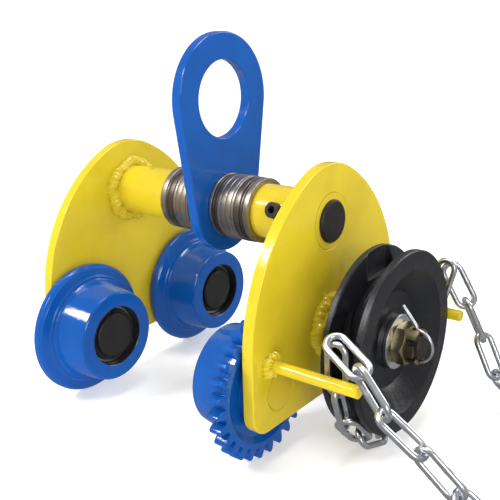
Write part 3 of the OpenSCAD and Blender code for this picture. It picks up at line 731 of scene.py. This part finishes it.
@dataclass
class Wheels:
    """Two plain flanged wheels and two geared ones."""
    segments: int = 160
    teeth: int = 28
    module: float = 4.0
    pressure_angle: float = math.radians(20.0)
    backlash: float = 0.3
    left_phase: float = math.radians(28.292)
    # radius inside which a wheel's bore takes painted shade, near black
    bore_shade_r: float = 27.6
    tooth_rim: float = 1.2
    hub: tuple = (
        (44.2, 40.9, 1.3), (45.5, 39.6, 1.3), (45.5, 27.9, 0.5), (44.9, 27.2, 0.5), (37, 27.2, 0.2),
        (37, 26, 0.2), (30, 26, 0.1), (30, 24, 0.2), (12, 24, 0.2), (12, 26, 0.1))

    def tip(self) -> float:
        """Radius over the teeth."""
        return self.module * (self.teeth / 2 + 1)

    def plain_outline(self) -> np.ndarray:
        """X from the plate's inner face and radius of a plain wheel's section."""
        return rounded((
            (2.5, 26, 0.3), (2.5, 60, 1.2), (8.4, 60, 1.0), (11.2, 57.4, 0.8), (12.4, 50.2, 1.6),
            (13.6, 49.2, 1.0), (13.8, 46.6, 2.2), (16.5, 45.3, 3.0),
            *self.hub))

    def geared_outline(self) -> tuple[np.ndarray, np.ndarray]:
        """A geared wheel's section.

        Returns:
            X and radius of its points, and a mask of those on its teeth.
        """
        tip = self.tip()
        points = rounded((
            (2.5, 26, 0.3), (2.5, 29.4, 0.8), (6.5, 30.4, 1.0), (6.5, 41.6, 2.0), (2.5, 46.4, 0.8),
            (2.5, tip, 0.7), (13.5, tip, 0.7), (13.5, 48.2, 1.0), (15.4, 45.7, 2.0),
            *self.hub))
        return points, points[:, 1] > tip - self.tooth_rim

    def bore_shade(self, section: np.ndarray, count: int) -> np.ndarray:
        """Tone of each point: 1 where the section lies in the hub bore, which its paint turns near
        black as painted shade.
        """
        return np.repeat(section[:, 1] < self.bore_shade_r, count).astype(float)

    def tooth_angles(self, phase: float) -> tuple[np.ndarray, np.ndarray]:
        """Angle and radius along the teeth's outline.

        A flank's half angle at radius r is a quarter of the pitch less the backlash, plus
        inv(pressure angle) - inv(acos(base / r)), with inv(a) = tan a - a.

        Args:
            phase: the angle that the first tooth points at.

        Returns:
            Angles in rising order, and the outline's radius at each.
        """
        pitch = self.module * self.teeth / 2
        base = pitch * math.cos(self.pressure_angle)
        radii = pitch + np.array([-5, -3.4, -1.6, 0, 2, 3.6, 4])
        roll = np.arccos(np.minimum(base / radii, 1.0))
        inv = np.tan(self.pressure_angle) - self.pressure_angle
        half = math.pi / 2 / self.teeth - self.backlash / 2 / pitch + inv - (np.tan(roll) - roll)
        half[-1] -= 0.004
        offsets = np.concatenate([-half, half[::-1]])
        gap = math.pi / self.teeth
        tooth = np.concatenate([[-gap], offsets])
        radius = np.concatenate([[radii[0]], radii, radii[::-1]])
        steps = phase + np.arange(self.teeth) * TAU / self.teeth
        return (steps[:, None] + tooth[None]).ravel(), np.tile(radius, self.teeth)

    def build(self) -> None:
        """Makes the four wheels."""
        even = np.linspace(0, TAU, self.segments, endpoint=False)
        section = self.plain_outline()
        faces = grid_faces(len(section), self.segments, True, True)
        for name, side in (("far_left_wheel", -1), ("far_right_wheel", 1)):
            points = turned(section, even) + (0, side * Layout.axle_y, Layout.axle_z)
            piece = pour(name + "_shape", points.reshape(-1, 3), faces, 28,
                         self.bore_shade(section, self.segments))
            seat(piece, name, Finish.BLUE, name)
        section, toothed = self.geared_outline()
        for name, side, phase in (("near_left_wheel", -1, self.left_phase),
                                  ("near_right_wheel", 1, math.pi - self.left_phase)):
            angles, radius = self.tooth_angles(phase)
            points = turned(section, angles)
            scale = np.where(toothed[:, None], radius[None, :] / self.tip(), 1.0)
            points[..., 1:] *= scale[..., None]
            points[..., 0] = Layout.inner_width - points[..., 0]
            points += (0, side * Layout.axle_y, Layout.axle_z)
            faces = grid_faces(len(section), len(angles), True, True)
            piece = pour(name + "_shape", points.reshape(-1, 3), faces, 28,
                         self.bore_shade(section, len(angles)))
            seat(piece, name, Finish.BLUE, name)


@dataclass
class Washers:
    """The adjusting washers, each turned on its own with a broken edge."""
    inner_r: float = 18.0
    outer_r: float = 28.0
    far_stack: tuple = (6, 3, 6, 3, 6, 6, 3, 6, 7)
    near_stack: tuple = (3, 3, 3, 3, 6, 6, 3, 6, 3, 5.4)
    far_start: float = 66.0
    near_start: float = 122.6
    segments: int = 96

    def washer(self, start: float, thickness: float, wobble: float) -> np.ndarray:
        """One washer, set a hair off centre as loose washers hang.

        Args:
            start: X of its first face.
            thickness: its thickness with the gap to the next.
            wobble: seeds its size and place.

        Returns:
            (outline points, angles, 3) points.
        """
        gap = 0.10 + 0.22 * (0.5 + 0.5 * math.sin(3.1 * wobble)) ** 3
        radius = self.outer_r - 0.15 + 0.15 * math.sin(2.3 * wobble)
        outline = rounded((
            (start + gap, self.inner_r, 0.2), (start + gap, radius, 0.75),
            (start + thickness - gap, radius, 0.75), (start + thickness - gap, self.inner_r, 0.2)))
        angles = np.linspace(0, TAU, self.segments, endpoint=False)
        return turned(outline, angles) + (0, 0.2 * math.sin(wobble), -0.2 + 0.15 * math.cos(wobble))

    def pack(self, name: str, start: float, stack: Sequence[float]) -> bpy.types.Object:
        """One pack of washers as one piece.

        Args:
            name: the piece's name.
            start: X of the pack's first face.
            stack: each washer's thickness.

        Returns:
            The piece, not yet riding.
        """
        starts = start + np.concatenate([[0], np.cumsum(stack)[:-1]])
        points = np.stack([self.washer(s, t, 5.1 * k).reshape(-1, 3)
                           for k, (s, t) in enumerate(zip(starts, stack))])
        rows = points.shape[1] // self.segments
        tone = np.repeat(0.5 + 0.5 * np.sin(7.3 * np.arange(len(stack)) + start), points.shape[1])
        faces = grid_faces(rows, self.segments, True, True)
        return pour(name, *many(points, faces), sharp=30, tone=tone)

    def build(self) -> None:
        """Makes both packs."""
        seat(self.pack("far_washers", self.far_start, self.far_stack), "far_side",
             Finish.WASHER, "far_washer_pack")
        seat(self.pack("near_washers", self.near_start, self.near_stack), "far_side",
             Finish.WASHER, "near_washer_pack")


@dataclass
class Welds:
    """Fillet welds with the ripples that a hand torch leaves, painted over."""
    segments: int = 220
    across: int = 16

    def bead(self, x: float, y: float, z: float, radius: float, leg: float, way: int,
             seed: float) -> np.ndarray:
        """Points of one bead round a pipe.

        Its face bulges from (0, radius + leg) to (leg, radius); the bulge's size runs with
        the angle as 1 + ripples of about 2 mm + slow waves.

        Args:
            x, y, z: where the pipe's axis meets the plate, in millimetres.
            radius: the pipe's radius.
            leg: the bead's leg.
            way: 1 if the pipe leaves towards +X, -1 if towards -X.
            seed: shifts the waves.

        Returns:
            (across, segments, 3) points.
        """
        turn = np.linspace(0, TAU, self.segments, endpoint=False)[None, :]
        arc = np.linspace(0, math.pi / 2, self.across - 2)[:, None]
        ripples = round(TAU * radius / 3.4)
        lumpy = (1 + 0.05 * np.sin(turn * ripples + 2.6 * np.sin(3 * turn + seed) + 1.5 * arc)
                 + 0.13 * np.sin(2 * turn + seed) + 0.12 * np.sin(5 * turn + 2 * seed + arc)
                 + 0.08 * np.sin(9 * turn - seed + 2 * arc) + 0.06 * np.sin(17 * turn + 3 * arc))
        reach = leg * lumpy * (0.84 + 0.12 * np.sin(2 * arc))
        rise = reach * np.sin(arc)
        out = radius + reach * np.cos(arc)
        root = np.full((1, self.segments), radius - 0.3)
        rise = np.vstack([rise, np.full_like(root, leg * 0.6), np.zeros_like(root)])
        out = np.vstack([out, root, root])
        return np.stack([x + way * rise, y + out * np.cos(turn), z + out * np.sin(turn)], axis=2)

    def join(self, name: str, beads: Sequence[np.ndarray]) -> bpy.types.Object:
        """Several beads as one piece.

        Args:
            name: the piece's name.
            beads: each bead's points.

        Returns:
            The piece, not yet riding.
        """
        points = np.stack([b.reshape(-1, 3) for b in beads])
        faces = grid_faces(self.across, self.segments, True, True)
        return pour(name, *many(points, faces), sharp=70)

    def build(self) -> None:
        """Makes the beads of both plates."""
        seat(self.join("far_welds", [self.bead(0, 0, 0, Layout.sleeve_r, 8.6, 1, 0.3)]), "far_side",
             Finish.YELLOW, "far_weld_beads")
        near = [
            self.bead(Layout.inner_width, 0, 0, Layout.sleeve_r, 8.0, -1, 1.1),
            self.bead(Layout.near_outer, 0, Layout.drive_z, Layout.sleeve_r, 7.6, 1, 2.0),
            *(self.bead(Layout.near_outer, y, Layout.guide_z, Layout.guide_r, 6.2, 1, seed)
              for y, seed in ((-Layout.guide_y, 0.7), (Layout.guide_y, 2.9))),
        ]
        seat(self.join("near_welds", near), "near_side", Finish.YELLOW, "near_weld_beads")


@dataclass
class HandDrive:
    """Hand wheel, guide rods, washer, castle nut and split pin."""
    pin_x: float = 305.3
    pin_reach: float = 13.0
    pin_wire: float = 1.9
    lean: float = math.radians(40.0)
    leg: float = 20.0
    bend_wire: float = 1.5
    leg_wire: float = 1.6
    rod_l: float = 77.0
    rod_sides: int = 40

    def split_pin(self) -> bpy.types.Object:
        """A shank, a leg bent round the shaft's end and one leaning back.

        Returns:
            The split pin, not yet riding.
        """
        down = np.linspace(1, -1, 14)[:, None] * np.array((0, 0, self.pin_reach - 1.0))
        shank, faces = tube(down, self.pin_wire)
        turn = np.linspace(math.pi / 2, -math.pi / 2, 32)
        bend = np.stack([self.pin_reach * np.cos(turn), 0 * turn, self.pin_reach * np.sin(turn)], 1)
        loop, loop_faces = tube(bend, self.bend_wire)
        steps = 15
        angle = self.lean * np.minimum(np.linspace(0, 1, steps + 1) * 4, 1)
        step = self.leg / steps
        x = -np.cumsum(np.sin(angle)) * step
        z = self.pin_reach - 1 + np.cumsum(np.cos(angle)) * step
        leg, leg_faces = tube(np.stack([x, 0 * x, z], 1), self.leg_wire)
        points = np.vstack([shank, loop, leg]) + (self.pin_x, 0, Layout.drive_z)
        faces = np.vstack([faces, loop_faces + len(shank), leg_faces + len(shank) + len(loop)])
        return pour("split_pin_shape", points, faces, 60)

    def rod(self, name: str, y: float) -> None:
        """One guide rod with a rounded end.

        Args:
            name: the CAD node that it stands for.
            y: its distance from the middle.
        """
        outline = rounded(((0, 0.3, 0), (0, Layout.guide_r, 0),
                           (self.rod_l, Layout.guide_r, 1.2), (self.rod_l, 0.3, 0)))
        points = turned(outline, np.linspace(0, TAU, self.rod_sides, endpoint=False))
        points += (Layout.near_outer, y, Layout.guide_z)
        faces = grid_faces(len(outline), self.rod_sides, False, True)
        piece = pour(name + "_shape", points.reshape(-1, 3), faces)
        seat(piece, "near_side", Finish.YELLOW, name)

    def build(self) -> None:
        """Makes the drive's visible pieces."""
        self.rod("left_chain_guide", -Layout.guide_y)
        self.rod("right_chain_guide", Layout.guide_y)
        seat(softened("hand_wheel", 0.9, 3, 30), "hand_drive", Finish.CASTING, "hand_wheel")
        seat(softened("nut_washer", 0.5, 2), "hand_drive", Finish.ZINC, "nut_washer")
        seat(softened("castle_nut", 0.5, 2), "hand_drive", Finish.GOLD_ZINC, "castle_nut")
        seat(self.split_pin(), "hand_drive", Finish.ZINC, "split_pin")


@dataclass
class HandChain:
    """The endless hand chain, link by link."""
    wire: float = 2.5
    straight: float = 12.5
    bend: float = 7.5
    pitch: float = 34.3
    groove_x: float = 281.0
    wheel_joints: tuple = (
        (-76.6, -67.3), (-75.5, -101.5), (-63.3, -133.3), (-39.1, -157.2), (-6.9, -168.2),
        (26.7, -163.4), (54.8, -144.2), (72.2, -114.9), (76.6, -81.1))
    front: tuple = (
        (294, -83.5, -68, -17, -23, 206), (319.5, -94, -83.5, -17, -39, 104),
        (344, -96.5, -105, 8, -37, 188), (370.5, -93.5, -127, 4, -41, 280),
        (397.5, -90.5, -148.5, 8, -37, 20), (427, -85, -164, 14, -18, 128),
        (459.5, -76, -170, 20, 0, 45))
    back: tuple = (
        (285, 85, -65.5, 216, 106, -127), (297.5, 93, -68, 8, -61, -109),
        (311, 98, -98.5, 29, -66, -11), (326.5, 98, -128, -19, -58, -173),
        (349, 93, -152.5, -8, -34, 288), (379.5, 91, -166, 0, -14, 35))
    hank_centre: tuple = (487.0, 66.0)
    hank_half: float = 45.0
    hank_widths: tuple = (43.0, 77.0)
    hank_turns: float = 3.25
    layer_z: tuple = (-170.0, -154.0)

    def link(self, along: int, across: int) -> tuple[np.ndarray, np.ndarray]:
        """One link lying flat, its length along X.

        The wire's centre runs round two half circles of the bend radius joined by straights;
        each ring lies across it, and swells by a tenth at the butt weld.

        Args:
            along: rings round the link.
            across: points on a ring.

        Returns:
            Points in millimetres and quads.
        """
        quarter = math.pi * self.bend
        total = 2 * quarter + 4 * self.straight
        s = (np.arange(along) + 0.5) / along * total
        first = 2 * self.straight
        second = first + quarter
        third = second + first
        turn = (np.clip((s - first) / self.bend, 0, math.pi)
                + np.clip((s - third) / self.bend, 0, math.pi) - math.pi / 2)
        x = np.where(s < first, s - self.straight,
                     np.where(s < second, self.straight,
                              np.where(s < third, self.straight - (s - second), -self.straight)))
        out = np.stack([np.cos(turn), np.sin(turn)], 1)
        centre = np.stack([x + self.bend * out[:, 0], self.bend * out[:, 1]], 1)
        swell = 1 + 0.10 * np.exp(-((s - self.straight) / 1.6) ** 2)
        ring = np.linspace(0, TAU, across, endpoint=False)
        size = self.wire * swell
        flat = centre[:, None] + out[:, None] * (size[:, None] * np.cos(ring)[None])[..., None]
        z = size[:, None] * np.sin(ring)[None]
        points = np.concatenate([flat, z[..., None]], 2)
        return points.reshape(-1, 3), grid_faces(along, across, True, True)

    def placed(self, places: np.ndarray, along: int = 44,
               across: int = 14) -> tuple[np.ndarray, np.ndarray]:
        """Copies of the link along the chain.

        Args:
            places: centre, heading, slope and roll in degrees of each link.
            along: rings round a link.
            across: points on a ring.

        Returns:
            Points in millimetres and quads.
        """
        shape, faces = self.link(along, across)
        heading, slope, roll = np.radians(places[:, 3:]).T
        length = np.stack([np.cos(slope) * np.cos(heading), np.cos(slope) * np.sin(heading),
                           np.sin(slope)], 1)
        level = np.stack([-np.sin(heading), np.cos(heading), 0 * heading], 1)
        upright = np.cross(length, level)
        width = np.cos(roll)[:, None] * level + np.sin(roll)[:, None] * upright
        height = np.cross(length, width)
        turn = np.stack([length, width, height], 2)
        return many(np.einsum("kij,nj->kni", turn, shape) + places[:, None, :3], faces)

    def on_wheel(self) -> np.ndarray:
        """Works out the links round the wheel from the joints between them.

        Returns:
            One row of centre, heading, slope and roll for each link.
        """
        joints = np.array(self.wheel_joints)
        run, middle = np.diff(joints, axis=0), (joints[1:] + joints[:-1]) / 2
        count = len(run)
        slope = np.degrees(np.arctan2(run[:, 1], run[:, 0]))
        roll = np.arange(count) * (90 - 90 / (count - 1))
        return np.stack([np.full(count, self.groove_x), middle[:, 0], middle[:, 1],
                         np.full(count, 90.0), slope, roll], 1)

    def hank(self) -> np.ndarray:
        """Places of the links in the hank.

        The line is a long oval whose half width grows with the turn; joints lie a link's
        pitch apart along it, and the rolls alternate between 45 and 135 degrees.

        Returns:
            One row for each link.
        """
        rows = []
        t = np.linspace(0, 1, 6000)
        width = self.hank_widths[0] + (self.hank_widths[1] - self.hank_widths[0]) * t
        for layer, z in enumerate(self.layer_z):
            angle = TAU * self.hank_turns * t + math.pi * layer
            y = self.hank_half * np.tanh(6 * np.sin(angle)) + width * np.sin(angle)
            x = width * np.cos(angle)
            line = np.stack([x + self.hank_centre[0], y + self.hank_centre[1]], 1)
            arc = np.concatenate([[0], np.cumsum(np.linalg.norm(np.diff(line, axis=0), axis=1))])
            marks = np.arange(0, arc[-1], self.pitch)
            joint = np.stack([np.interp(marks, arc, line[:, k]) for k in (0, 1)], 1)
            run, middle = np.diff(joint, axis=0), (joint[1:] + joint[:-1]) / 2
            heading = np.degrees(np.arctan2(run[:, 1], run[:, 0]))
            roll = 45.0 + 90.0 * (np.arange(len(run)) % 2)
            rows.append(np.stack([middle[:, 0], middle[:, 1], np.full(len(run), z), heading,
                                  np.zeros(len(run)), roll], 1))
        return np.vstack(rows)

    def build(self) -> None:
        """Makes the chain's four stretches."""
        for name, places in (("hand_chain_on_wheel", self.on_wheel()),
                             ("hand_chain_front_run", np.array(self.front, float)),
                             ("hand_chain_back_run", np.array(self.back, float))):
            piece = pour(name + "_links", *self.placed(places), sharp=80)
            seat(piece, "near_side", Finish.ZINC, name)
        piece = pour("hand_chain_hank_links", *self.placed(self.hank(), 30, 10), sharp=80)
        seat(piece, "near_side", Finish.ZINC, "hand_chain_hank")


@dataclass
class FramePieces:
    """CAD nodes whose shape is right, which only take a finish."""
    finishes: dict = field(default_factory=lambda: {
        Finish.TAIL: ("far_left_axle", "far_right_axle", "near_left_axle", "near_right_axle"),
        Finish.BLACK: ("far_axle_circlips", "near_axle_circlips", "pinion_circlip", "drive_shaft"),
        Finish.YELLOW: ("far_sleeve_pin",),
        Finish.STEEL: ("far_left_outer_rings", "far_right_outer_rings",
                       "near_left_outer_rings", "near_right_outer_rings", "far_inner_rings",
                       "near_inner_rings", "far_bearing_balls", "near_bearing_balls",
                       "far_ring_spacers", "near_ring_spacers", "drive_pinion", "pinion_key",
                       "hand_wheel_key"),
        Finish.BRONZE: ("drive_bush", "pinion_thrust_washer"),
        Finish.RUBBER: ("far_left_seals", "far_right_seals", "near_left_seals", "near_right_seals"),
    })

    def build(self) -> None:
        """Dresses them."""
        for finish, nodes in self.finishes.items():
            for node in nodes:
                PAINT.dress(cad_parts[node], finish)


# ---------------------------------------------------------------- studio

@dataclass
class Studio:
    """Pale floor that curves up into a backdrop, soft lights and the camera."""
    camera_spot: tuple = (551.2, -510.3, 164.5)
    yaw: float = math.radians(38.5619)
    pitch: float = math.radians(-17.2542)
    roll: float = math.radians(-1.6232)
    lens: float = 56.43
    floor_half: float = 4.0
    floor_flat: float = 2.0
    floor_sides: int = 64
    floor_glow: float = 0.34
    sky: float = 0.26

    def camera(self) -> None:
        """Camera at its spot, aimed by yaw from +Y, pitch and roll."""
        data = bpy.data.cameras.new("camera")
        data.lens = self.lens
        data.sensor_width = 36.0
        data.clip_start = 0.01
        spot = (np.array(self.camera_spot) - Layout.origin) * MM
        ahead = Vector((-math.sin(self.yaw) * math.cos(self.pitch),
                        math.cos(self.yaw) * math.cos(self.pitch), math.sin(self.pitch)))
        right = ahead.cross(Vector((0, 0, 1))).normalized()
        up = right.cross(ahead)
        side = right * math.cos(self.roll) + up * math.sin(self.roll)
        top = up * math.cos(self.roll) - right * math.sin(self.roll)
        turn = Matrix((side, top, -ahead)).transposed().to_4x4()
        camera = bpy.data.objects.new("camera", data)
        camera.matrix_world = Matrix.Translation(Vector(spot)) @ turn
        bpy.context.scene.collection.objects.link(camera)
        bpy.context.scene.camera = camera

    def floor(self) -> None:
        """A floor disc whose rim sweeps up: height grows as the square past a radius."""
        radius = np.concatenate([np.linspace(0.02, self.floor_flat, 8),
                                 np.linspace(self.floor_flat + 0.2, self.floor_half, 20)])
        turn = np.linspace(0, TAU, self.floor_sides, endpoint=False)
        rise = np.maximum(radius - self.floor_flat, 0) ** 2 * 0.9
        points = np.stack([radius[:, None] * np.cos(turn), radius[:, None] * np.sin(turn),
                           np.broadcast_to(rise[:, None], (len(radius), len(turn)))], 2)
        mesh = bpy.data.meshes.new("floor")
        faces = grid_faces(len(radius), len(turn), False, True)
        middle = list(range(self.floor_sides))[::-1]
        mesh.from_pydata(points.reshape(-1, 3).tolist(), [], faces.tolist() + [middle])
        mesh.shade_smooth()
        floor = bpy.data.objects.new("floor", mesh)
        bpy.context.scene.collection.objects.link(floor)
        g = Graph("pale_floor")
        tone = g.blend(g.noise(3.0), (0.88, 0.88, 0.88), (0.92, 0.92, 0.92))
        mesh.materials.append(g.surface(
            Base_Color=tone, Roughness=0.7, Specular_IOR_Level=0.0,
            Emission_Color=(1.0, 1.0, 1.0), Emission_Strength=self.floor_glow))
        floor.visible_glossy = False

    def light(self, name: str, spot: tuple, aim: tuple, size: float, power: float) -> None:
        """One square soft light.

        Args:
            name: its name.
            spot: where it hangs, in metres.
            aim: what it points at.
            size: its side in metres.
            power: watts.
        """
        data = bpy.data.lights.new(name, "AREA")
        data.size = size
        data.energy = power
        lamp = bpy.data.objects.new(name, data)
        lamp.location = spot
        lamp.rotation_euler = (Vector(aim) - Vector(spot)).to_track_quat("-Z", "Y").to_euler()
        bpy.context.scene.collection.objects.link(lamp)

    def build(self) -> None:
        """Makes the whole studio."""
        self.camera()
        self.floor()
        self.light("key", (-0.9, -1.3, 1.5), (0, 0, 0.15), 0.48, 25.0)
        self.light("fill", (1.5, -1.1, 0.8), (0.05, 0, 0.1), 0.6, 9.0)
        self.light("top", (0.1, 0.2, 1.8), (0, 0, 0.1), 0.7, 16.0)
        self.light("back", (0.9, 1.6, 1.0), (0, 0, 0.15), 0.8, 10.0)
        world = bpy.data.worlds.new("studio")
        world.use_nodes = True
        background = world.node_tree.nodes["Background"]
        background.inputs["Color"].default_value = (1.0, 1.0, 1.0, 1.0)
        background.inputs["Strength"].default_value = self.sky
        bpy.context.scene.world = world
        bpy.context.scene.view_settings.view_transform = "Standard"


def main() -> None:
    """Builds every sub-assembly in order."""
    logging.basicConfig(level=logging.INFO, format="%(name)s: %(message)s")
    for part in (Studio(), Plates(), Wheels(), Washers(), Welds(), HandDrive(), HandChain(),
                 FramePieces()):
        part.build()
        LOG.info("%s built", type(part).__name__)


if __name__ == "__main__":
    main()
